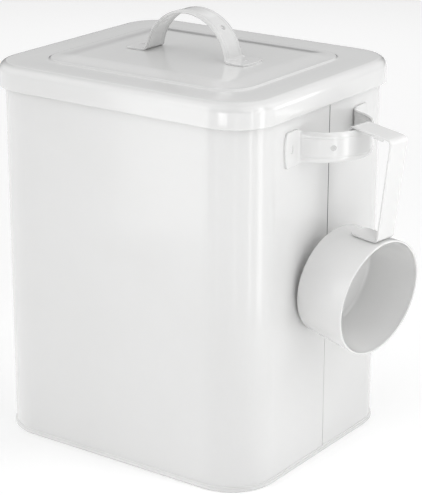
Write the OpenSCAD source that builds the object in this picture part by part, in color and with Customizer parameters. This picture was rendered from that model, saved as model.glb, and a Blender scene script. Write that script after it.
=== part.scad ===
// Laundry powder storage box: a sheet steel tin with a slip-over lid, a bow strap
// handle on the lid, a matching bow strap on the right wall, and a scoop hung on it.
// Millimetres, +Z up. The origin is the middle of the tin's footprint on the surface
// that it stands on. The broad front faces -Y and the strap's wall faces +X.

/* [Body] */
// Width of the body, left to right, over its walls
body_w = 185; // [150:1:240]
// Depth of the body, front to back, over its walls
body_d = 159; // [130:1:220]
// Height of the body from the surface it stands on to the top of its rolled rim
body_h = 228; // [200:1:300]
// Outside radius of the body's upright corners
body_corner_r = 28.5; // [20:0.5:36]
// Thickness of the sheet steel of the body and the lid
sheet_t = 0.5; // [0.4:0.05:0.8]
// Outside diameter of the rim that is rolled inward along the top of the wall
rim_d = 3; // [2.4:0.1:4]

/* [Base seam] */
// Height of the folded seam that holds the base plate
seam_h = 3.4; // [2.6:0.1:6]
// How far the folded seam stands out from the wall, outside and inside
seam_out = 0.9; // [0.7:0.05:1.4]
// Thickness of the fold under the wall's lower edge
seam_floor_t = 0.9; // [0.6:0.05:1.2]
// Height of the base plate's underside above the surface below
base_rise = 2.2; // [1.2:0.1:2.6]

/* [Wall seam] */
// Distance of the upright lock seam from the middle of the right wall
lock_y = 3.5; // [-12:0.5:12]
// Width of the line that the lock seam leaves outside
lock_line_w = 0.6; // [0.4:0.05:1]
// Depth of the line that the lock seam leaves outside
lock_line_deep = 0.25; // [0.15:0.01:0.3]
// Width of the fold that the lock seam leaves inside
lock_fold_w = 6; // [4:0.5:10]
// Thickness of the fold that the lock seam leaves inside
lock_fold_t = 0.8; // [0.5:0.05:1.2]

/* [Lid] */
// How far the lid's skirt stands out from the wall of the body
lid_out = 2.5; // [1.8:0.1:4]
// Height of the lid from the skirt's lower edge to its flat top
lid_h = 14.3; // [11:0.1:18]
// Outside radius of the lid's corners
lid_corner_r = 28; // [20:0.5:36]
// Radius of the edge between the lid's top and its skirt
lid_edge_r = 5.5; // [4:0.25:8]
// Clearance between the lid and the body's rim
lid_clear = 0.3; // [0.2:0.05:0.6]
// Height of the hem that is folded inside the skirt
hem_h = 3.5; // [2:0.1:5]
// Distance of the raised panel from the outside of the skirt
panel_inset = 24; // [14:0.5:34]
// Radius of the raised panel's corners
panel_corner_r = 18; // [10:0.5:30]
// How far the raised panel stands above the rest of the lid
panel_h = 1.8; // [0.8:0.1:2.5]
// Width of the slope round the raised panel
panel_slope_w = 3.2; // [1.5:0.1:5]

/* [Bow straps] */
// Width of the strap along its bow
strap_w = 17.6; // [14:0.1:20]
// Thickness of the strap
strap_t = 1.2; // [0.8:0.1:2]
// Outside radius of the bow
bow_r = 29.7; // [24:0.1:34]
// Depth of the bow's centre below the lid's panel
lid_bow_sink = 2.4; // [0:0.1:6]
// Depth of the bow's centre behind the wall's outside
wall_bow_sink = 3; // [0:0.1:6]
// Radius that the strap's two long edges are turned back to
turn_r = 4; // [3:0.1:6]
// Angle that the strap's two long edges are turned back by
turn_a = 45; // [20:1:60]
// Radius inside the bend between the bow and a foot
bend_r = 1.5; // [0.8:0.1:3]
// Width of a foot
foot_w = 20; // [16:0.1:22]
// Length of a foot from its bend to its round end
foot_l = 13; // [11:0.1:18]
// Radius of a foot's round end
foot_end_r = 30; // [16:0.5:60]
// Diameter of the two holes through each bow
hole_d = 3.4; // [2:0.1:5]
// Angle of the two holes from the middle of the bow
hole_a = 45; // [25:1:55]
// Width of the weld mark on each foot
weld_w = 2.6; // [1.6:0.1:4]
// Length of the weld mark on each foot
weld_l = 4.8; // [3:0.1:8]
// Depth of the weld mark on each foot
weld_deep = 0.25; // [0.1:0.01:0.4]
// Distance of the middle of the wall's strap below the top of the body
bracket_drop = 31; // [30:0.1:60]

/* [Scoop cup] */
// Outside radius of the cup at its base
cup_base_r = 33; // [26:0.1:40]
// Outside radius of the cup at its mouth
cup_mouth_r = 34.8; // [27:0.1:42]
// Length of the cup from its base to its mouth
cup_l = 35; // [30:0.5:45]
// Thickness of the cup's wall
cup_t = 0.9; // [0.6:0.1:1.5]
// Radius of the cup's edge between base and wall
cup_edge_r = 3; // [2:0.1:8]

/* [Scoop arm] */
// Width of the strap that the arm is bent from
arm_w = 14.8; // [10:0.1:20]
// Thickness of the strap that the arm is bent from
arm_t = 1.2; // [0.8:0.1:1.6]
// Distance of the arm's outside from the cup's base, along the cup
arm_x = 33.2; // [28:0.1:34]
// Height of the arm's top above the middle of the cup
arm_h = 96.2; // [75:0.1:110]
// Radius inside the arm's bends
arm_bend_r = 1.8; // [1:0.1:3]
// Length of the foot that is welded along the cup
arm_foot_l = 20; // [12:0.5:24]
// Length of the hook plate, from the arm's outside to its turned-down lip
hook_l = 29.8; // [24:0.1:32]
// How far the lip reaches down behind the bow
lip_h = 9; // [5:0.1:14]
// Distance of the pressed lugs from the arm's outside
lug_x = 5.5; // [4:0.1:8]
// Length of the pressed lugs along the hook plate
lug_l = 7.5; // [5:0.1:9]
// How far the pressed lugs stand below the hook plate
lug_h = 1.4; // [0.8:0.1:3]

/* [Hanging] */
// How far round the bow the scoop hangs, towards the front
scoop_turn = 7.5; // [0:0.5:12]
// How far the scoop hangs to the side of the bow's centre, towards the back
scoop_side = 2.2; // [-3:0.1:3]
// Distance left between the hook's lip and the inside of the bow
lip_play = 1.7; // [0.3:0.1:2.5]
// Clearance between the scoop and what it hangs on and leans on
hang_clear = 0.2; // [0.1:0.05:0.4]

/* [Hidden] */
$fn = 96;
over = 1;

white_steel = [0.93, 0.93, 0.925];
rim_r = rim_d / 2;
lid_w = body_w + 2 * lid_out;
lid_d = body_d + 2 * lid_out;

// The lid's rounded edge comes down over the rolled rim until lid_clear is left
edge_to_rim_x = max(0, lid_edge_r - lid_out - rim_r);
edge_to_rim = lid_edge_r - sheet_t - rim_r - lid_clear;
lid_top = body_h - rim_r + lid_edge_r - sqrt(pow(edge_to_rim, 2) - pow(edge_to_rim_x, 2));
panel_w = lid_w - 2 * panel_inset;
panel_d = lid_d - 2 * panel_inset;
panel_top = lid_top + panel_h;

// The strap's section narrows towards the bow's centre along its turned edges
flat_half = strap_w / 2 - turn_r * sin(turn_a);
edge_r_out = bow_r - turn_r * (1 - cos(turn_a));
edge_r_in = edge_r_out - strap_t * cos(turn_a);

cup_taper = atan((cup_mouth_r - cup_base_r) / cup_l);
cup_edge_ring_r = cup_base_r - cup_edge_r * (1 - sin(cup_taper)) / cos(cup_taper);

// The hook rests on the upper edge of the bow, its lip clear of the bow inside
bracket_z = body_h - bracket_drop;
bow_x = body_w / 2 - wall_bow_sink;
bow_top = bracket_z + strap_w / 2;
lip_face_x = arm_x - hook_l + arm_t;
lip_face_r = sqrt(pow(edge_r_in, 2) - pow(arm_w / 2, 2)) - lip_play;
rest_x = lip_face_x + edge_r_out - lip_face_r;
rest_h = arm_h - arm_t;

// Distance left between the cup's lower edge and the wall at a lean
function wall_left(lean) =
    bow_x
    + cos(scoop_turn) * (edge_r_out + (cup_edge_r - rest_x) * cos(lean) - rest_h * sin(lean))
    - cup_edge_ring_r * sqrt(1 - pow(cos(scoop_turn) * cos(lean), 2))
    - cup_edge_r - body_w / 2 - hang_clear;

// Lean at which the cup's lower edge just meets the wall, found by halving
function lean_between(low, high, steps) =
    steps == 0 ? (low + high) / 2
    : wall_left((low + high) / 2) > 0 ? lean_between((low + high) / 2, high, steps - 1)
    : lean_between(low, (low + high) / 2, steps - 1);
scoop_lean = lean_between(-10, 45, 30);

// Rectangle with round corners, centred
module round_rect(w, d, r) {
    square([w - 2 * r, d], center = true);
    square([w, d - 2 * r], center = true);
    for (sx = [-1, 1], sy = [-1, 1])
        translate([sx * (w / 2 - r), sy * (d / 2 - r)]) circle(r);
}

// Sweeps a profile round a rectangle with round corners. The profile's x is measured
// outward from the rectangle's outline and its y is the height.
module round_sweep(w, d, r) {
    for (k = [0 : 3]) {
        across = k % 2 == 0 ? w : d;
        along = k % 2 == 0 ? d : w;
        rotate([0, 0, 90 * k]) {
            translate([across / 2, along / 2 - r, 0])
                rotate([90, 0, 0]) linear_extrude(along - 2 * r) children();
            translate([across / 2 - r, along / 2 - r, 0])
                rotate_extrude(angle = 90) translate([r, 0]) children();
        }
    }
}

// Part of a ring between two angles, up to 180 degrees apart
module ring_part(r_out, r_in, from_a, to_a) {
    far = 2 * r_out;
    mid_a = (from_a + to_a) / 2;
    intersection() {
        difference() {
            circle(r_out);
            circle(r_in);
        }
        polygon([
            [0, 0],
            far * [cos(from_a), sin(from_a)],
            far * [cos(mid_a), sin(mid_a)],
            far * [cos(to_a), sin(to_a)]
        ]);
    }
}

// Section of the wall: upright sheet with its rolled rim, open towards the wall below
module wall_profile() {
    roll_a = 305;
    translate([-sheet_t, seam_floor_t]) square([sheet_t, body_h - rim_r - seam_floor_t]);
    translate([-rim_r, body_h - rim_r]) {
        ring_part(rim_r, rim_r - sheet_t, 0, roll_a / 2);
        ring_part(rim_r, rim_r - sheet_t, roll_a / 2, roll_a);
    }
}

module body_wrap() {
    wall_in = body_w / 2 - sheet_t;
    fold_low = seam_h;
    fold_high = body_h - rim_d - lid_clear;
    color(white_steel) difference() {
        union() {
            round_sweep(body_w, body_d, body_corner_r) wall_profile();
            translate([wall_in - lock_fold_t, lock_y - lock_fold_w / 2, fold_low])
                cube([lock_fold_t + sheet_t / 2, lock_fold_w, fold_high - fold_low]);
        }
        translate([body_w / 2 - lock_line_deep, lock_y - lock_line_w / 2, seam_h])
            cube([lock_line_deep + over, lock_line_w, fold_high - seam_h]);
    }
}

// Section of the base seam: two leaves either side of the wall's lower edge
module seam_profile() {
    leaf_r = seam_out / 2;
    for (x = [leaf_r, -sheet_t - leaf_r]) {
        translate([x - leaf_r, leaf_r]) square([seam_out, seam_h - seam_out]);
        translate([x, leaf_r]) circle(leaf_r);
        translate([x, seam_h - leaf_r]) circle(leaf_r);
    }
    translate([-sheet_t - leaf_r, 0]) square([sheet_t + seam_out, seam_floor_t]);
}

module base_plate() {
    inset = sheet_t + seam_out / 2;
    color(white_steel) {
        round_sweep(body_w, body_d, body_corner_r) seam_profile();
        translate([0, 0, base_rise]) linear_extrude(sheet_t)
            round_rect(body_w - 2 * inset, body_d - 2 * inset, body_corner_r - inset);
    }
}

// Section of the lid's skirt, hem and rounded edge, in from the outline to its flat top
module skirt_profile() {
    skirt_low = lid_top - lid_h;
    hem_r = sheet_t;
    translate([-sheet_t, skirt_low + hem_r])
        square([sheet_t, lid_h - lid_edge_r - hem_r]);
    translate([-2 * sheet_t, skirt_low + hem_r]) square([sheet_t, hem_h - hem_r]);
    translate([-hem_r, skirt_low + hem_r]) ring_part(hem_r, 0, 180, 360);
    translate([-lid_edge_r, lid_top - lid_edge_r])
        ring_part(lid_edge_r, lid_edge_r - sheet_t, 0, 90);
    translate([-lid_edge_r - sheet_t, lid_top - sheet_t]) square(sheet_t);
}

// Section of the slope up to the raised panel, inward from the panel's outline, with a
// flat end that laps into the sheet on either side
module panel_slope_profile() {
    polygon([
        [sheet_t, lid_top - sheet_t],
        [sheet_t, lid_top],
        [0, lid_top],
        [-panel_slope_w, panel_top],
        [-panel_slope_w - 2 * sheet_t, panel_top],
        [-panel_slope_w - 2 * sheet_t, panel_top - sheet_t],
        [-panel_slope_w - sheet_t / 2, panel_top - sheet_t],
        [-sheet_t / 2, lid_top - sheet_t]
    ]);
}

module lid_shell() {
    flat_w = lid_w - 2 * lid_edge_r;
    flat_d = lid_d - 2 * lid_edge_r;
    slope = panel_slope_w + sheet_t;
    color(white_steel) {
        round_sweep(lid_w, lid_d, lid_corner_r) skirt_profile();
        translate([0, 0, lid_top - sheet_t]) linear_extrude(sheet_t) difference() {
            round_rect(flat_w, flat_d, lid_corner_r - lid_edge_r);
            round_rect(panel_w, panel_d, panel_corner_r);
        }
        round_sweep(panel_w, panel_d, panel_corner_r) panel_slope_profile();
        translate([0, 0, panel_top - sheet_t]) linear_extrude(sheet_t)
            round_rect(panel_w - 2 * slope, panel_d - 2 * slope, panel_corner_r - slope);
    }
}

// Section of the bow: a flat middle and two long edges turned back towards the centre
module bow_section() {
    translate([bow_r - strap_t, -flat_half]) square([strap_t, 2 * flat_half]);
    for (side = [0, 1])
        mirror([0, side]) translate([bow_r - turn_r, flat_half])
            ring_part(turn_r, turn_r - strap_t, 0, turn_a);
}

// Bow strap on the plane z = 0, its bow over the Y axis and its feet along X
module bow_strap(sink) {
    rise = strap_t + bend_r + sink;
    start_a = asin(rise / (bow_r + bend_r));
    foot_x = (bow_r + bend_r) * cos(start_a);
    lap_a = 1;
    difference() {
        union() {
            translate([0, 0, -sink]) rotate([90, 0, 0]) rotate([0, 0, start_a - lap_a])
                rotate_extrude(angle = 180 - 2 * (start_a - lap_a)) bow_section();
            for (side = [0, 1]) mirror([side, 0, 0]) {
                rotate([90, 0, 0]) linear_extrude(strap_w, center = true) {
                    translate([foot_x, strap_t + bend_r])
                        ring_part(bend_r + strap_t, bend_r, 180 + start_a, 270 + lap_a);
                    translate([foot_x, 0]) square([foot_l / 2, strap_t]);
                }
                linear_extrude(strap_t) intersection() {
                    translate([foot_x, -foot_w / 2]) square([foot_l, foot_w]);
                    translate([foot_x + foot_l - foot_end_r, 0]) circle(foot_end_r);
                }
            }
        }
        for (side = [-1, 1]) {
            translate([0, 0, -sink]) rotate([0, side * hole_a, 0])
                translate([0, 0, bow_r - 2 * strap_t]) cylinder(d = hole_d, h = 3 * strap_t);
            translate([side * (foot_x + foot_l / 2), 0, strap_t])
                cube([weld_w, weld_l, 2 * weld_deep], center = true);
        }
    }
}

module lid_handle() {
    color(white_steel) translate([0, 0, panel_top]) bow_strap(lid_bow_sink);
}

module wall_bracket() {
    color(white_steel) translate([body_w / 2, 0, bracket_z])
        rotate([90, 0, 90]) bow_strap(wall_bow_sink);
}

// Half section of a tapered cup with a rounded lower edge, its axis along y
module cup_half(base_r, length, edge_r) {
    ring_r = base_r - edge_r * (1 - sin(cup_taper)) / cos(cup_taper);
    polygon([
        [0, 0],
        [ring_r, 0],
        [ring_r + edge_r * cos(cup_taper), edge_r * (1 - sin(cup_taper))],
        [base_r + length * tan(cup_taper), length],
        [0, length]
    ]);
    translate([ring_r, edge_r]) circle(edge_r);
}

// Places a piece drawn in the scoop's own frame: base centre at the origin, mouth
// towards +X and arm upward
module hung_scoop() {
    translate([bow_x, 0, bow_top + hang_clear]) rotate([0, 0, -scoop_turn])
        translate([edge_r_out, scoop_side, 0]) rotate([0, scoop_lean, 0])
        translate([-rest_x, 0, -rest_h]) children();
}

module scoop_cup() {
    inner_base_r = cup_base_r + cup_t * tan(cup_taper) - cup_t / cos(cup_taper);
    color(white_steel) hung_scoop() rotate([0, 90, 0]) rotate_extrude() difference() {
        intersection() {
            cup_half(cup_base_r, cup_l, cup_edge_r);
            square([2 * cup_mouth_r, cup_l]);
        }
        translate([0, cup_t]) intersection() {
            cup_half(inner_base_r, cup_l + over, cup_edge_r - cup_t);
            square([2 * cup_mouth_r, cup_l + over]);
        }
    }
}

// Side view of the arm from its bend above the cup to the end of its lip
module arm_outline(low_z) {
    bend_out = arm_bend_r + arm_t;
    lip_x = arm_x - hook_l;
    // lower bend, from the foot up into the upright
    translate([arm_x - bend_out, low_z + bend_out]) ring_part(bend_out, arm_bend_r, 270, 360);
    // upright
    translate([arm_x - arm_t, low_z + bend_out])
        square([arm_t, arm_h - low_z - 2 * bend_out]);
    // upper bend, hook plate and lip
    translate([arm_x - bend_out, arm_h - bend_out]) ring_part(bend_out, arm_bend_r, 0, 90);
    translate([lip_x + bend_out, arm_h - arm_t]) square([hook_l - 2 * bend_out, arm_t]);
    translate([lip_x + bend_out, arm_h - bend_out]) ring_part(bend_out, arm_bend_r, 90, 180);
    translate([lip_x, arm_h - arm_t - lip_h]) square([arm_t, lip_h + arm_t - bend_out]);
}

module scoop_arm() {
    weld_gap = 0.05;
    bend_out = arm_bend_r + arm_t;
    foot_end = arm_x - bend_out;
    foot_start = arm_x - arm_foot_l;
    seat_r = cup_base_r / cos(cup_taper) + weld_gap;
    seat_low = seat_r + foot_start * tan(cup_taper);
    seat_high = seat_r + foot_end * tan(cup_taper);
    color(white_steel) hung_scoop() {
        rotate([90, 0, 0]) linear_extrude(arm_w, center = true) arm_outline(seat_high);
        // foot, bent to the cup's wall
        intersection() {
            rotate([0, 90, 0]) rotate_extrude() polygon([
                [seat_low, foot_start],
                [seat_low + arm_t, foot_start],
                [seat_high + arm_t, foot_end],
                [seat_high, foot_end]
            ]);
            translate([0, -arm_w / 2, 0]) cube([arm_x, arm_w, 2 * cup_mouth_r]);
        }
        // lugs pressed down from both edges of the hook plate
        for (side = [-1, 1])
            translate([arm_x - lug_x - lug_l, side * (arm_w - arm_t) / 2 - arm_t / 2, rest_h - lug_h])
                cube([lug_l, arm_t, lug_h + arm_t / 2]);
    }
}

body_wrap();
base_plate();
lid_shell();
lid_handle();
wall_bracket();
scoop_cup();
scoop_arm();
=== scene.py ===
import bpy
import bmesh
import math
from mathutils import Vector, Matrix


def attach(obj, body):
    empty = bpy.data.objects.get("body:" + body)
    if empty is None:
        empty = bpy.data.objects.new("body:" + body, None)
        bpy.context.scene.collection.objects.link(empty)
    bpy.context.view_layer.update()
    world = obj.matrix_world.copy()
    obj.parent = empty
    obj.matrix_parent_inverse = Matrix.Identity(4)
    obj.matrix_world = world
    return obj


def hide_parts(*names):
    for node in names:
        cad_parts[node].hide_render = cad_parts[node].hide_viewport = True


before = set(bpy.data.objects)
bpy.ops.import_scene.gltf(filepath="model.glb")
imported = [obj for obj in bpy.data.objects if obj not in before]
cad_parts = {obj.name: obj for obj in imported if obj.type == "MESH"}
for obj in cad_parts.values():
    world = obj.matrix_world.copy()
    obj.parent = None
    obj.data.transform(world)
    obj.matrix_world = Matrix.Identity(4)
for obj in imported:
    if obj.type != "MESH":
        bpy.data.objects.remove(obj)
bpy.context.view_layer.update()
scene = bpy.context.scene
scene.view_settings.view_transform = "Standard"
MM = 0.001

# ---------------------------------------------------------------- camera
cam_data = bpy.data.cameras.new("camera")
cam = bpy.data.objects.new("camera", cam_data)
scene.collection.objects.link(cam)
cam_pos = Vector((0.62484, -0.85948, 0.47506))
cam_fwd = Vector((-0.54877, 0.77067, -0.32392)).normalized()
cam_right = Vector((0.81422, 0.58055, 0.00181)).normalized()
cam_up = cam_right.cross(cam_fwd).normalized()
cam.matrix_world = Matrix((
    (cam_right.x, cam_up.x, -cam_fwd.x, cam_pos.x),
    (cam_right.y, cam_up.y, -cam_fwd.y, cam_pos.y),
    (cam_right.z, cam_up.z, -cam_fwd.z, cam_pos.z),
    (0, 0, 0, 1)))
cam_data.lens = 134.53
cam_data.sensor_width = 36
cam_data.clip_end = 100
cam_data.dof.use_dof = False
scene.camera = cam

# sizes of the CAD part, in millimetres: body and its lock seam, lid, straps, scoop
BODY_W, BODY_D, BODY_R = 185.0, 159.0, 28.5
SEAM_Y, SEAM_LINE = 3.5, 0.6
LID_W, LID_D, LID_R, LID_TOP, LID_H = 190.0, 164.0, 28.0, 229.173, 14.3
SHEET, EDGE_R = 0.5, 5.5
PANEL_IN, PANEL_R, PANEL_H = 24.0, 18.0, 1.8
PANEL_TOP = LID_TOP + PANEL_H
STRAP_W, STRAP_T, BOW_R, TURN_R, TURN_A = 17.6, 1.2, 29.7, 4.0, math.radians(45)
BEND_R, FOOT_W, FOOT_L, FOOT_END_R = 1.5, 20.0, 13.0, 30.0
LID_SINK, WALL_SINK, BRACKET_Z = 2.4, 3.0, 197.0
HOLE_D, HOLE_A = 3.4, math.radians(45)
CUP_BASE_R, CUP_MOUTH_R, CUP_L, CUP_T, CUP_EDGE_R = 33.0, 34.8, 35.0, 0.9, 3.0
ARM_W, ARM_T, ARM_X, ARM_H, ARM_BEND = 14.8, 1.2, 33.2, 96.2, 1.8
ARM_FOOT, HOOK_L, LIP_H = 20.0, 29.8, 9.0
LUG_X, LUG_L, LUG_H = 5.5, 7.5, 1.4
SCOOP_TURN, SCOOP_SIDE, LIP_PLAY, HANG_CLEAR = math.radians(7.5), 2.2, 1.7, 0.2
CUP_TAPER = math.atan((CUP_MOUTH_R - CUP_BASE_R) / CUP_L)
CUP_RING_R = CUP_BASE_R - CUP_EDGE_R * (1 - math.sin(CUP_TAPER)) / math.cos(CUP_TAPER)

# the finer shapes that this script adds, in millimetres
# lid's ridge: inset of its start, its width, height of the groove before it and of its top
RIDGE_IN, RIDGE_W, GROOVE_Z, RIDGE_Z = 23.2, 1.9, -0.12, 0.80
# slow rise from the ridge to the panel: inset of its start, its width; inset of the flat cap
RISE_IN, RISE_W, CAP_IN = 25.6, 16.4, 48.0
# rounding of long edges, radius of the cup's lip, depth and half width of a strap's crease
SOFT_EDGE, LIP_R, CREASE_D, CREASE_W = 0.28, 0.62, 0.20, 0.5
# a strap widens and its edges run out towards its feet: start and length, mm from the bend
SPLAY_FROM, SPLAY_LEN, TURN_FROM, TURN_LEN = -4.0, 10.0, 0.5, 6.0
# corner radius of a strap's foot, and the drop at its end with the length it takes
FOOT_CORNER, FOOT_DROP, FOOT_DROP_L = 0.9, 0.3, 0.35
# spot weld's dent: along the strap, across it, and twice its depth
WELD = (2.6, 4.8, 0.7)


# ---------------------------------------------------------------- materials
# noise scales per metre: clouding, waves in the sheet, orange peel; and the bumps' depths
CLOUD_SCALE, WAVE_SCALE, PEEL_SCALE = 14, 11, 620
WAVE_DEPTH, PEEL_DEPTH = 0.0010, 0.0002
ENAMEL_IOR, COAT_ROUGH = 1.5, 0.08
# the two ends of the clouding, as shares of the base tone
DARK_TONE, LIGHT_TONE = (0.975, 0.975, 0.968), (1.0, 1.0, 0.996)
# painted shade in the lock seam's step: its dark colour, and the heights between which it fades
# in, gone below the first
SEAM_SHADE_COLOR, SEAM_SHADE_FADE = (0.07, 0.07, 0.068, 1), (0.08, 0.13)


def enamel(name, base=0.80, rough=0.20, wave=1.0, coat=0.5):
    """Glossy white enamel on sheet steel: orange peel, slow waves in the sheet, and faint
    clouding in the colour and roughness."""
    m = bpy.data.materials.new(name)
    m.use_nodes = True
    nt = m.node_tree
    n, l = nt.nodes, nt.links
    bsdf = n["Principled BSDF"]
    bsdf.inputs["IOR"].default_value = ENAMEL_IOR
    bsdf.inputs["Coat Weight"].default_value = coat
    bsdf.inputs["Coat Roughness"].default_value = COAT_ROUGH
    bsdf.inputs["Coat IOR"].default_value = ENAMEL_IOR
    tc = n.new("ShaderNodeTexCoord")
    cloud = n.new("ShaderNodeTexNoise")
    cloud.inputs["Scale"].default_value = CLOUD_SCALE
    cloud.inputs["Detail"].default_value = 4
    cloud.inputs["Roughness"].default_value = 0.6
    l.new(tc.outputs["Object"], cloud.inputs["Vector"])
    tone = n.new("ShaderNodeValToRGB")
    tone.color_ramp.elements[0].position = 0.30
    tone.color_ramp.elements[0].color = tuple(base * c for c in DARK_TONE) + (1,)
    tone.color_ramp.elements[1].position = 0.72
    tone.color_ramp.elements[1].color = tuple(base * c for c in LIGHT_TONE) + (1,)
    l.new(cloud.outputs["Fac"], tone.inputs["Fac"])
    l.new(tone.outputs["Color"], bsdf.inputs["Base Color"])
    rr = n.new("ShaderNodeMapRange")
    rr.inputs["To Min"].default_value = rough - 0.03
    rr.inputs["To Max"].default_value = rough + 0.05
    l.new(cloud.outputs["Fac"], rr.inputs["Value"])
    l.new(rr.outputs["Result"], bsdf.inputs["Roughness"])
    sheet = n.new("ShaderNodeTexNoise")
    sheet.inputs["Scale"].default_value = WAVE_SCALE
    sheet.inputs["Detail"].default_value = 1
    l.new(tc.outputs["Object"], sheet.inputs["Vector"])
    b1 = n.new("ShaderNodeBump")
    b1.inputs["Strength"].default_value = 0.5 * wave
    b1.inputs["Distance"].default_value = WAVE_DEPTH
    l.new(sheet.outputs["Fac"], b1.inputs["Height"])
    orange = n.new("ShaderNodeTexNoise")
    orange.inputs["Scale"].default_value = PEEL_SCALE
    orange.inputs["Detail"].default_value = 2
    l.new(tc.outputs["Object"], orange.inputs["Vector"])
    b2 = n.new("ShaderNodeBump")
    b2.inputs["Strength"].default_value = 0.10
    b2.inputs["Distance"].default_value = PEEL_DEPTH
    l.new(orange.outputs["Fac"], b2.inputs["Height"])
    l.new(b1.outputs["Normal"], b2.inputs["Normal"])
    l.new(b2.outputs["Normal"], bsdf.inputs["Normal"])
    l.new(b2.outputs["Normal"], bsdf.inputs["Coat Normal"])
    return m


def add_painted_seam_shade(m):
    """Painted shade down the lock seam on the wall that carries the bracket: a thin dark line
    that stands for the shade in the seam's open joint, fading out towards the bottom.
    """
    nt = m.node_tree
    n, l = nt.nodes, nt.links
    bsdf = n["Principled BSDF"]
    tc = n.new("ShaderNodeTexCoord")
    sep = n.new("ShaderNodeSeparateXYZ")
    l.new(tc.outputs["Object"], sep.inputs["Vector"])
    across = n.new("ShaderNodeMath")
    across.operation = "COMPARE"
    across.inputs[1].default_value = SEAM_Y * MM
    across.inputs[2].default_value = SEAM_LINE / 2 * MM
    l.new(sep.outputs["Y"], across.inputs[0])
    out = n.new("ShaderNodeMath")
    out.operation = "COMPARE"
    out.inputs[1].default_value = (BODY_W / 2 - 0.15) * MM
    out.inputs[2].default_value = 0.14 * MM
    l.new(sep.outputs["X"], out.inputs[0])
    both = n.new("ShaderNodeMath")
    both.operation = "MULTIPLY"
    l.new(across.outputs[0], both.inputs[0])
    l.new(out.outputs[0], both.inputs[1])
    high = n.new("ShaderNodeMapRange")
    high.inputs["From Min"].default_value = SEAM_SHADE_FADE[0]
    high.inputs["From Max"].default_value = SEAM_SHADE_FADE[1]
    l.new(sep.outputs["Z"], high.inputs["Value"])
    # strength of the painted seam shade: the line's mask times its fade with height
    depth = n.new("ShaderNodeMath")
    depth.operation = "MULTIPLY"
    l.new(both.outputs[0], depth.inputs[0])
    l.new(high.outputs["Result"], depth.inputs[1])
    mix = n.new("ShaderNodeMix")
    mix.data_type = "RGBA"
    l.new(depth.outputs[0], mix.inputs["Factor"])
    old = bsdf.inputs["Base Color"].links[0].from_socket
    l.new(old, mix.inputs["A"])
    mix.inputs["B"].default_value = SEAM_SHADE_COLOR
    l.new(mix.outputs["Result"], bsdf.inputs["Base Color"])


mat_wall = enamel("enamel_wall_seam_shade", wave=0.7)
# painted shade: a thin dark line down the lock seam, lighter towards the bottom
add_painted_seam_shade(mat_wall)
mat_body = enamel("enamel_base", wave=0.2)
mat_lid = enamel("enamel_lid", rough=0.16, wave=0.5, coat=1.0)
mat_strap = enamel("enamel_strap", rough=0.15, wave=0.2, coat=0.9)
mat_scoop = enamel("enamel_scoop", base=0.79, rough=0.17, wave=0.2, coat=0.8)


def smooth(ob, angle=30):
    for p in ob.data.polygons:
        p.use_smooth = True
    if hasattr(ob.data, "set_sharp_from_angle"):
        ob.data.set_sharp_from_angle(angle=math.radians(angle))


def new_object(name, verts, faces, body, mat, replaces=(), angle=30):
    me = bpy.data.meshes.new(name)
    me.from_pydata([tuple(c * MM for c in v) for v in verts], [], faces)
    me.validate()
    bm = bmesh.new()
    bm.from_mesh(me)
    bmesh.ops.recalc_face_normals(bm, faces=bm.faces)
    bm.to_mesh(me)
    bm.free()
    ob = bpy.data.objects.new(name, me)
    scene.collection.objects.link(ob)
    me.materials.append(mat)
    smooth(ob, angle)
    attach(ob, body)
    if replaces:
        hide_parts(*replaces)
    return ob


# ---------------------------------------------------------------- lid and base
def ring(w, d, r, z, n=18):
    """Rounded rectangle of half sizes w and d with corner radius r, at height z."""
    pts = []
    for q, (sx, sy) in enumerate(((1, 1), (-1, 1), (-1, -1), (1, -1))):
        for k in range(n + 1):
            a = math.pi / 2 * (q + k / n)
            pts.append((sx * (w - r) + r * math.cos(a), sy * (d - r) + r * math.sin(a), z))
    return pts


def skin(rings, caps):
    """Faces between following rings, the last and the first too, and one flat cap at each
    ring named in caps. Two following rings that both have a cap are left open between."""
    verts, faces = [], []
    m = len(rings[0])
    for r in rings:
        verts += r
    for i in range(len(rings)):
        j = (i + 1) % len(rings)
        if i in caps and j in caps:
            continue
        faces += [(i * m + q, i * m + (q + 1) % m, j * m + (q + 1) % m, j * m + q)
                  for q in range(m)]
    for i in caps:
        faces.append(tuple(i * m + q for q in range(m)))
    return verts, faces


def arc(cx, cz, r, a0, a1, n):
    """Points (inset, height) on an arc, angles in degrees, 0 pointing outwards."""
    out = []
    for k in range(n + 1):
        a = math.radians(a0 + (a1 - a0) * k / n)
        out.append((cx - r * math.cos(a), cz + r * math.sin(a)))
    return out


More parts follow.
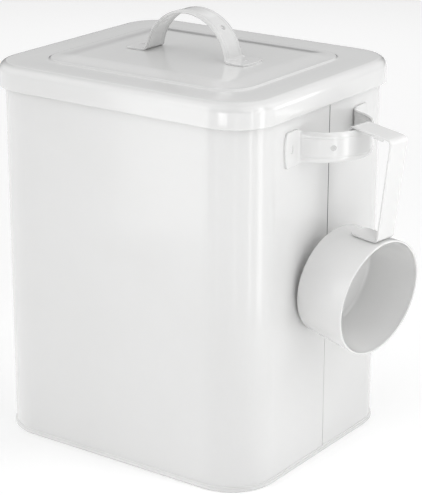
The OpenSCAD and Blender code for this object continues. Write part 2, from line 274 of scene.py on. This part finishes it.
def lid_piece():
    """Pressed lid as one closed sheet: hem, skirt, rounded shoulder, groove, ridge, panel."""
    low = LID_TOP - LID_H
    hem = 2 * SHEET
    # from the shoulder: a shallow groove, a small ridge, then a slow rise to the panel
    rise = [(9.0, 0.0), (13.0, -0.01), (16.0, -0.04), (19.0, -0.09), (21.5, GROOVE_Z)]
    rise += [(RIDGE_IN + RIDGE_W * k / 12, GROOVE_Z + (RIDGE_Z - GROOVE_Z) * fade(k / 12))
             for k in range(13)]
    rise += [(RISE_IN + RISE_W * k / 16, RIDGE_Z + (PANEL_H - RIDGE_Z) * fade(k / 16))
             for k in range(17)]
    outer = [(hem, low + 3.5)]
    outer += arc(hem / 2, low + hem / 2, hem / 2, -180, 0, 8)
    outer += [(0.0, low + 3.0), (0.0, LID_TOP - EDGE_R - 1.2)]
    outer += arc(EDGE_R, LID_TOP - EDGE_R, EDGE_R, 0, 90, 14)
    outer += [(inset, LID_TOP + z) for inset, z in rise]
    outer.append((CAP_IN, PANEL_TOP))
    inner = [(CAP_IN, PANEL_TOP - SHEET)]
    inner += [(inset, LID_TOP - SHEET + z) for inset, z in reversed(rise)]
    inner += arc(EDGE_R, LID_TOP - EDGE_R, EDGE_R - SHEET, 90, 0, 14)
    inner.append((SHEET, low + 3.52))
    rings = []
    for inset, z in outer + inner:
        if inset <= EDGE_R:
            r = LID_R - inset
        elif inset <= PANEL_IN:
            share = (inset - EDGE_R) / (PANEL_IN - EDGE_R)
            r = LID_R - EDGE_R + (PANEL_R - LID_R + EDGE_R) * share
        else:
            r = max(2.0, PANEL_R - (inset - PANEL_IN))
        rings.append(ring(LID_W / 2 - inset, LID_D / 2 - inset, r, z))
    verts, faces = skin(rings, (len(outer) - 1, len(outer)))
    new_object("lid", verts, faces, "lid", mat_lid, ("lid_shell",), 40)


def base_piece():
    """Base plate with its edge rolled round the wall: two soft beads, one over the other."""
    prof = [(6.0, 2.75), (2.0, 2.75), (1.6, 2.85), (1.42, 3.1)]
    prof += arc(1.1, 3.1, 0.3, 180, 90, 4)
    prof += arc(0.2, 2.62, 0.78, 90, -38, 10)
    prof += arc(0.22, 1.05, 1.05, 42, -90, 12)
    prof += arc(1.0, 0.4, 0.4, -90, -180, 4)
    prof += [(1.42, 1.7), (1.6, 2.05), (2.0, 2.2), (6.0, 2.2)]
    rings = [ring(BODY_W / 2 - s, BODY_D / 2 - s, BODY_R - s, z) for s, z in prof]
    # the last ring and the first are the edges of the plate's two faces
    verts, faces = skin(rings, (0, len(rings) - 1))
    new_object("base", verts, faces, "tin", mat_body, ("base_plate",), 50)


# ---------------------------------------------------------------- straps
def loft(stations, up):
    """Joins stations, closed loops of one layout, into a solid. A loop holds the up points of
    its top, then the up points of its underside."""
    verts, faces = [], []
    m = len(stations[0])
    for s in stations:
        verts += s
    for i in range(len(stations) - 1):
        faces += [(i * m + q, i * m + (q + 1) % m, (i + 1) * m + (q + 1) % m, (i + 1) * m + q)
                  for q in range(m)]
    for base in (0, (len(stations) - 1) * m):
        under = [base + 2 * up - 1 - k for k in range(up)]
        faces += [(base + k, base + k + 1, under[k + 1], under[k]) for k in range(up - 1)]
    return verts, faces


def section(half, turn, n=10):
    """Section of a strap as (across, up) points, up = 0 on its top face. The middle is flat;
    both edges turn down by the angle turn, beyond a fine crease. Its four long edges are
    rounded over."""
    flat = half - TURN_R * math.sin(TURN_A)
    length = TURN_R * TURN_A
    crease = CREASE_D * turn / TURN_A
    right = [(flat / 2, 0.0, 0.0), (flat - 1.1, 0.0, 0.0)]
    right += [(flat - 0.55 + CREASE_W * s, -crease * fade(1 - abs(s)), 0.0)
              for s in (-0.75, -0.4, 0.0, 0.4, 0.75)]
    for k in range(n + 1):
        if turn > 1e-4:
            r = length / turn
            a = turn * k / n
            right.append((flat + r * math.sin(a), r * math.cos(a) - r, a))
        else:
            right.append((flat + length * k / n, 0.0, 0.0))
    # the last stretch before the edge drops into a rounding of the long edge
    soft, thick = SOFT_EDGE, STRAP_T
    x, z, a = right.pop()
    ends = []
    for k in range(5):
        b = math.pi / 2 * k / 4
        out, down = soft * math.sin(b) - soft, soft * math.cos(b) - soft
        ends.append((x + out * math.cos(a) + down * math.sin(a),
                     z - out * math.sin(a) + down * math.cos(a), a))
    top = [(0.0, 0.0, 0.0)] + right + ends
    low = [(px - thick * math.sin(pa), pz - thick * math.cos(pa))
           for px, pz, pa in [(0.0, 0.0, 0.0)] + right]
    for k in range(5):
        b = math.pi / 2 * k / 4
        out, down = soft * math.sin(b) - soft, thick - soft + soft * math.cos(b)
        low.append((x + out * math.cos(a) - down * math.sin(a),
                    z - out * math.sin(a) - down * math.cos(a)))
    top = [(px, pz) for px, pz, _ in top]
    up = [(-px, pz) for px, pz in reversed(top[1:])] + top
    under = [(-px, pz) for px, pz in reversed(low[1:])] + low
    return up + list(reversed(under)), len(up)


def fade(t):
    t = max(0.0, min(1.0, t))
    return t * t * (3 - 2 * t)


def bow_piece(name, sink, place, body, replaces):
    """Bow strap drawn on z = 0, its bow over Y and its feet along X."""
    rise = STRAP_T + BEND_R + sink
    start = math.asin(rise / (BOW_R + BEND_R))
    foot_x = (BOW_R + BEND_R) * math.cos(start)
    flat_half = STRAP_W / 2
    spread = TURN_R * (TURN_A - math.sin(TURN_A))
    bend_len = (BEND_R + STRAP_T) * (math.pi / 2 - start)

    def extra(s):
        """Half width that the foot has over the bow, s mm past the start of the bend."""
        return (FOOT_W / 2 - flat_half - spread) * (1 - fade((s - SPLAY_FROM) / SPLAY_LEN))

    def turn(s):
        return TURN_A * fade((s - TURN_FROM) / TURN_LEN)

    def foot(u, side):
        """A station of the foot at the share u of its length, its end convex."""
        tip = FOOT_L * (1 - u)
        past = max(0.0, FOOT_CORNER - tip)
        round_off = FOOT_CORNER - math.sqrt(max(0.0, FOOT_CORNER ** 2 - past ** 2))
        half = flat_half + spread + extra(-u * FOOT_L) - round_off
        drop = FOOT_DROP * (1 - math.sqrt(1 - (1 - min(1.0, tip / FOOT_DROP_L)) ** 2))
        loop = []
        for x, z in section(half, 0.0)[0]:
            along = FOOT_L - (FOOT_END_R - math.sqrt(FOOT_END_R ** 2 - x * x))
            loop.append((side * (foot_x + u * along), x, min(STRAP_T + z, STRAP_T - drop)))
        return loop

    def bend(share, side):
        a = math.radians(270) - (math.radians(90) - start) * share
        s = bend_len * share
        loop = []
        for x, z in section(flat_half + extra(s), turn(s))[0]:
            r = BEND_R - z
            loop.append((side * (foot_x + r * math.cos(a)), x,
                         STRAP_T + BEND_R + r * math.sin(a)))
        return loop

    shares = [1.0, 0.985, 0.96, 0.93, 0.85, 0.72, 0.58, 0.44, 0.3, 0.15, 0.0]
    bends = [k / 8 for k in range(1, 8)]
    out = [foot(u, 1) for u in shares] + [bend(s, 1) for s in bends]
    steps = 72
    for k in range(steps + 1):
        a = start + (math.pi - 2 * start) * k / steps
        s = bend_len + BOW_R * min(a - start, math.pi - start - a)
        loop = []
        for x, z in section(flat_half + extra(s), turn(s))[0]:
            r = BOW_R + z
            loop.append((r * math.cos(a), x, r * math.sin(a) - sink))
        out.append(loop)
    out += [bend(s, -1) for s in reversed(bends)] + [foot(u, -1) for u in reversed(shares)]
    verts, faces = loft(out, section(flat_half, 0.0)[1])
    ob = new_object(name, verts, faces, body, mat_strap, (), 40)
    cutters = []
    for side in (-1, 1):
        way = (Matrix.Translation(Vector((0, 0, -sink))) @ Matrix.Rotation(side * HOLE_A, 4, "Y")
               @ Matrix.Translation(Vector((0, 0, BOW_R))))
        cutters.append(cylinder_cut(way, HOLE_D / 2, 8))
        cutters.append(weld_cut(side * (foot_x + FOOT_L / 2)))
    cut(ob, cutters)
    ob.data.transform(Matrix.Translation(place[0] * MM) @ place[1])
    smooth(ob, 40)
    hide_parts(replaces)


def cutter_mesh(bm):
    bmesh.ops.scale(bm, vec=(MM, MM, MM), verts=bm.verts)
    me = bpy.data.meshes.new("cutter")
    bm.to_mesh(me)
    bm.free()
    return me


def cylinder_cut(matrix, r, h):
    bm = bmesh.new()
    bmesh.ops.create_cone(bm, cap_ends=True, segments=40, radius1=r, radius2=r, depth=h)
    bmesh.ops.transform(bm, matrix=matrix, verts=bm.verts)
    return cutter_mesh(bm)


def weld_cut(x):
    """Shallow pillow-shaped dent of a spot weld's electrode."""
    bm = bmesh.new()
    bmesh.ops.create_cube(bm, size=1)
    bmesh.ops.scale(bm, vec=WELD, verts=bm.verts)
    upright = [e for e in bm.edges if abs((e.verts[0].co - e.verts[1].co).z) > 0.1]
    bmesh.ops.bevel(bm, geom=upright, offset=0.7, segments=4, profile=0.5, affect="EDGES")
    for v in bm.verts:
        if v.co.z < 0:
            v.co.x *= 0.88
            v.co.y *= 0.92
    bmesh.ops.translate(bm, vec=(x, 0, STRAP_T), verts=bm.verts)
    return cutter_mesh(bm)


def cut(ob, meshes):
    for me in meshes:
        tool = bpy.data.objects.new("tool", me)
        scene.collection.objects.link(tool)
        mod = ob.modifiers.new("cut", "BOOLEAN")
        mod.operation = "DIFFERENCE"
        mod.solver = "EXACT"
        mod.object = tool
        bpy.context.view_layer.update()
        dg = bpy.context.evaluated_depsgraph_get()
        done = bpy.data.meshes.new_from_object(ob.evaluated_get(dg))
        ob.modifiers.remove(mod)
        ob.data = done
        bpy.data.objects.remove(tool)


# ---------------------------------------------------------------- scoop
def scoop_matrix():
    """Place of the scoop as the CAD part hangs it, from its own frame to the row's."""
    edge_out = BOW_R - TURN_R * (1 - math.cos(TURN_A))
    edge_in = edge_out - STRAP_T * math.cos(TURN_A)
    bow_x = BODY_W / 2 - WALL_SINK
    bow_top = BRACKET_Z + STRAP_W / 2
    lip_face = ARM_X - HOOK_L + ARM_T
    lip_r = math.sqrt(edge_in ** 2 - (ARM_W / 2) ** 2) - LIP_PLAY
    rest_x = lip_face + edge_out - lip_r
    rest_h = ARM_H - ARM_T

    def left(a):
        """Room left between the wall and the cup of a scoop that leans by a."""
        c = math.cos(SCOOP_TURN)
        out = c * (edge_out + (CUP_EDGE_R - rest_x) * math.cos(a) - rest_h * math.sin(a))
        return (bow_x + out - CUP_RING_R * math.sqrt(1 - (c * math.cos(a)) ** 2)
                - CUP_EDGE_R - BODY_W / 2 - HANG_CLEAR)

    lo, hi = math.radians(-10), math.radians(45)
    for _ in range(50):
        mid = (lo + hi) / 2
        if left(mid) > 0:
            lo = mid
        else:
            hi = mid
    lean = (lo + hi) / 2
    return (Matrix.Translation(Vector((bow_x, 0, bow_top + HANG_CLEAR)))
            @ Matrix.Rotation(-SCOOP_TURN, 4, "Z")
            @ Matrix.Translation(Vector((edge_out, SCOOP_SIDE, 0)))
            @ Matrix.Rotation(lean, 4, "Y")
            @ Matrix.Translation(Vector((-rest_x, 0, -rest_h))))


def cup_piece(place):
    """Pressed cup with a rounded base edge and a smooth, slightly rounded lip."""
    taper, ring_r = CUP_TAPER, CUP_RING_R
    prof = [(0.0, 0.0), (16.0, 0.0)]
    for k in range(0, 11):
        a = -math.pi / 2 + (math.pi / 2 - taper) * k / 10
        prof.append((ring_r + CUP_EDGE_R * math.cos(a), CUP_EDGE_R + CUP_EDGE_R * math.sin(a)))
    slope = math.tan(taper)
    for x in (12, 20, 28, 32, 33.5):
        prof.append((CUP_BASE_R + x * slope, x))
    cx, cz = CUP_BASE_R + (CUP_L - LIP_R) * slope - LIP_R, CUP_L - LIP_R
    for k in range(0, 9):
        a = -taper + math.pi * k / 8
        prof.append((cx + LIP_R * math.cos(a), cz + LIP_R * math.sin(a)))
    for x in (33.2, 32, 28, 20, 12):
        prof.append((CUP_BASE_R + x * slope - CUP_T / math.cos(taper), x))
    r_in = CUP_EDGE_R - CUP_T
    for k in range(10, -1, -1):
        a = -math.pi / 2 + (math.pi / 2 - taper) * k / 10
        prof.append((ring_r + r_in * math.cos(a), CUP_EDGE_R + r_in * math.sin(a)))
    prof.append((16.0, CUP_T))
    prof.append((0.0, CUP_T))
    n = 128
    verts, faces = [], []
    index = []
    for r, x in prof:
        if r == 0.0:
            index.append([len(verts)] * n)
            verts.append((x, 0.0, 0.0))
        else:
            index.append(list(range(len(verts), len(verts) + n)))
            for k in range(n):
                a = 2 * math.pi * k / n
                verts.append((x, r * math.cos(a), r * math.sin(a)))
    for i in range(len(prof) - 1):
        for k in range(n):
            q = (k + 1) % n
            f = [index[i][k], index[i][q], index[i + 1][q], index[i + 1][k]]
            g = []
            for v in f:
                if v not in g:
                    g.append(v)
            if len(g) > 2:
                faces.append(tuple(g))
    ob = new_object("cup", verts, faces, "tin", mat_scoop, (), 40)
    ob.data.transform(Matrix.Scale(MM, 4) @ place @ Matrix.Scale(1 / MM, 4))
    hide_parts("scoop_cup")


def arm_piece(place):
    """The scoop's arm: one strap from its foot on the cup up to the hook plate and its lip.
    The foot is bent less than the cup's wall, so its long edges stand off a little."""
    slope = (CUP_MOUTH_R - CUP_BASE_R) / CUP_L
    bend = ARM_BEND + ARM_T
    foot_end, foot_start = ARM_X - bend, ARM_X - ARM_FOOT
    seat = CUP_BASE_R * math.sqrt(1 + slope ** 2) + 0.05
    half, soft, corner_n = ARM_W / 2, SOFT_EDGE, 4
    lip_x, top_z = ARM_X - HOOK_L, ARM_H - bend
    upper = [-1 + 2 * k / 24 for k in range(1, 24)]

    def loop(h=half):
        """(across, depth) points, depth 0 on the strap's inner face, h the half width."""
        edge = []
        for k in range(corner_n + 1):
            b = math.pi / 2 * k / corner_n
            edge.append((-h + soft - soft * math.cos(b), soft - soft * math.sin(b)))
        top = edge + [(y * (h - soft), 0.0) for y in upper]
        top += [(-y, d) for y, d in reversed(edge)]
        return top + [(y, ARM_T - d) for y, d in reversed(top)]

    def end_half(tip, r):
        return half - r + math.sqrt(max(0.0, r * r - max(0.0, r - tip) ** 2))

    def turn(cx, cz, a0, a1):
        for k in range(1, 9):
            a = math.radians(a0 + (a1 - a0) * k / 8)
            out.append([(cx + (ARM_BEND + d) * math.cos(a), y, cz + (ARM_BEND + d) * math.sin(a))
                        for y, d in loop()])

    out = []
    for t in (0.0, 0.01, 0.04, 0.09, 0.15, 0.3, 0.45, 0.6, 0.75, 0.86, 0.94, 1.0):
        x = foot_start + (foot_end - foot_start) * t
        flatten = 0.45 + 0.55 * max(0.0, (t - 0.7) / 0.3) ** 2
        r_out = seat + x * slope + ARM_T
        pts = []
        for y, d in loop(end_half(x - foot_start, 2.5)):
            r, a = r_out - d, y / r_out
            cy, cz = r * math.sin(a), r * math.cos(a)
            pts.append((x, cy + (y - cy) * flatten, cz + (r - cz) * flatten))
        out.append(pts)
    low_z = seat + foot_end * slope + ARM_T + ARM_BEND
    turn(foot_end, low_z, 270, 360)
    for k in range(1, 31):
        z = low_z + (top_z - low_z) * k / 30
        out.append([(ARM_X - ARM_T + d, y, z) for y, d in loop()])
    turn(ARM_X - bend, top_z, 0, 90)
    x0, x1 = ARM_X - bend, lip_x + bend
    for k in range(1, 13):
        out.append([(x0 + (x1 - x0) * k / 12, y, top_z + ARM_BEND + d) for y, d in loop()])
    turn(x1, top_z, 90, 180)
    tip_z = ARM_H - ARM_T - LIP_H
    for t in (0.3, 0.6, 0.78, 0.88, 0.94, 0.98, 1.0):
        h = end_half((1 - t) * (top_z - tip_z), 2.0)
        out.append([(lip_x + ARM_T - d, y, top_z + (tip_z - top_z) * t) for y, d in loop(h)])
    verts, faces = loft(out, len(loop()) // 2)
    ob = new_object("arm", verts, faces, "tin", mat_scoop, (), 40)
    lugs(ob)
    ob.data.transform(Matrix.Scale(MM, 4) @ place @ Matrix.Scale(1 / MM, 4))
    smooth(ob, 40)
    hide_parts("scoop_arm")


def lugs(ob):
    """Two small lugs pressed down from the long edges of the hook plate."""
    bm = bmesh.new()
    bm.from_mesh(ob.data)
    under = ARM_H - ARM_T
    for side in (-1, 1):
        made = bmesh.ops.create_cube(bm, size=1)["verts"]
        for v in made:
            x, y, z = v.co
            length = LUG_L - 1.2 if z < 0 else LUG_L
            v.co = Vector((ARM_X - LUG_X - LUG_L / 2 + x * length,
                           side * (ARM_W - ARM_T) / 2 + y * (ARM_T - 0.1),
                           under - LUG_H if z < 0 else under + 0.3)) * MM
        edges = list({e for v in made for e in v.link_edges})
        bmesh.ops.bevel(bm, geom=edges, offset=SOFT_EDGE * MM, segments=3, profile=0.5,
                        affect="EDGES")
    bm.to_mesh(ob.data)
    bm.free()


# ---------------------------------------------------------------- the object
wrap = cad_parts["body_wrap"]
wrap.data.materials.clear()
wrap.data.materials.append(mat_wall)
smooth(wrap, 35)

base_piece()
lid_piece()
bow_piece("lid_strap", LID_SINK, (Vector((0, 0, PANEL_TOP)), Matrix.Identity(4)),
          "lid", "lid_handle")
turned = Matrix.Rotation(math.radians(90), 4, "Z") @ Matrix.Rotation(math.radians(90), 4, "X")
bow_piece("wall_strap", WALL_SINK, (Vector((BODY_W / 2, 0, BRACKET_Z)), turned),
          "tin", "wall_bracket")
hung = scoop_matrix()
cup_piece(hung)
arm_piece(hung)

# ---------------------------------------------------------------- floor, world and lights
# the floor's own light, which keeps it pale round the object; its half size and its drop, m
FLOOR_GLOW, FLOOR_HALF, FLOOR_DROP = 0.19, 12, 0.0002
bm = bmesh.new()
bmesh.ops.create_grid(bm, x_segments=1, y_segments=1, size=FLOOR_HALF)
me = bpy.data.meshes.new("floor")
bm.to_mesh(me)
bm.free()
floor = bpy.data.objects.new("floor", me)
scene.collection.objects.link(floor)
fm = bpy.data.materials.new("floor_white")
fm.use_nodes = True
fb = fm.node_tree.nodes["Principled BSDF"]
fb.inputs["Base Color"].default_value = (0.93, 0.93, 0.93, 1)
fb.inputs["Roughness"].default_value = 0.9
fb.inputs["Emission Color"].default_value = (1, 1, 1, 1)
fb.inputs["Emission Strength"].default_value = FLOOR_GLOW
me.materials.append(fm)
floor.location = (0, 0, -FLOOR_DROP)

world = bpy.data.worlds.new("studio")
scene.world = world
world.use_nodes = True
nt = world.node_tree
bg = nt.nodes["Background"]
tc = nt.nodes.new("ShaderNodeTexCoord")
# soft lobes of the sky: azimuth from -Y towards +X, elevation, half angle, strength
LOBES = (
    (140, 8, 26, 0.116), (205, 6, 36, 0.068), (290, 10, 34, 0.605), (-90, 42, 38, 0.44),
    (-30, 42, 38, 0.77), (150, 42, 38, 0.898), (0, 90, 42, 0.145),
)
# a lobe is full within the first share of its half angle and gone beyond the second
LOBE_CORE, LOBE_RIM = 0.3, 1.5


def heading(azimuth, elevation):
    a, e = math.radians(azimuth), math.radians(elevation)
    return Vector((math.sin(a) * math.cos(e), -math.cos(a) * math.cos(e), math.sin(e)))


total = None
for az, el, spread, strength in LOBES:
    dot = nt.nodes.new("ShaderNodeVectorMath")
    dot.operation = "DOT_PRODUCT"
    dot.inputs[1].default_value = heading(az, el)
    nt.links.new(tc.outputs["Generated"], dot.inputs[0])
    lobe = nt.nodes.new("ShaderNodeMapRange")
    lobe.interpolation_type = "SMOOTHSTEP"
    lobe.inputs["From Min"].default_value = math.cos(math.radians(spread * LOBE_RIM))
    lobe.inputs["From Max"].default_value = math.cos(math.radians(spread * LOBE_CORE))
    lobe.inputs["To Max"].default_value = strength
    nt.links.new(dot.outputs["Value"], lobe.inputs["Value"])
    if total is None:
        total = lobe.outputs["Result"]
        continue
    add = nt.nodes.new("ShaderNodeMath")
    add.operation = "ADD"
    nt.links.new(total, add.inputs[0])
    nt.links.new(lobe.outputs["Result"], add.inputs[1])
    total = add.outputs[0]
nt.links.new(total, bg.inputs["Color"])

# soft boxes and narrow strips: name, place, target, size, power
BOXES = (
    ("back_box", (-0.6, 0.9, 0.7), (0.0, 0.0, 0.15), (0.8, 0.8), 0.912),
    ("near_right", (0.42, -0.10, 0.50), (0.09, -0.02, 0.17), (0.44, 0.48), 0.60),
    ("near_behind", (0.40, 0.30, 0.50), (0.09, 0.04, 0.17), (0.20, 0.30), 0.13),
    ("near_corner", (0.36, -0.26, 0.46), (0.08, -0.06, 0.18), (0.16, 0.30), 0.038),
    ("near_low", (0.10, -0.24, 0.20), (0.06, -0.08, 0.18), (0.06, 0.06), 0.0266),
    ("near_side", (0.52, -0.08, 0.24), (0.09, -0.04, 0.18), (0.10, 0.10), 0.085),
    ("near_back", (0.30, 0.20, 0.21), (0.09, 0.05, 0.18), (0.10, 0.10), 0.055),
    ("strip_front", (-0.167, -0.410, 0.28), (0.08, -0.07, 0.28), (0.14, 0.52), 0.2185),
    ("strip_4", (0.071, -0.330, 0.22), (0.08, -0.07, 0.22), (0.03, 0.42), 0.018),
    ("strip_3", (0.244, -0.272, 0.22), (0.08, -0.07, 0.22), (0.008, 0.42), 0.018),
    ("strip_2", (0.331, -0.137, 0.22), (0.08, -0.07, 0.22), (0.016, 0.42), 0.048),
    ("strip_1", (0.336, -0.025, 0.22), (0.08, -0.07, 0.22), (0.055, 0.42), 0.13),
)
for name, where, target, span, power in BOXES:
    data = bpy.data.lights.new(name, "AREA")
    data.shape = "RECTANGLE"
    data.size, data.size_y = span
    data.energy = power
    ob = bpy.data.objects.new(name, data)
    ob.location = where
    ob.rotation_euler = (Vector(where) - Vector(target)).to_track_quat("Z", "Y").to_euler()
    ob.visible_camera = False
    scene.collection.objects.link(ob)
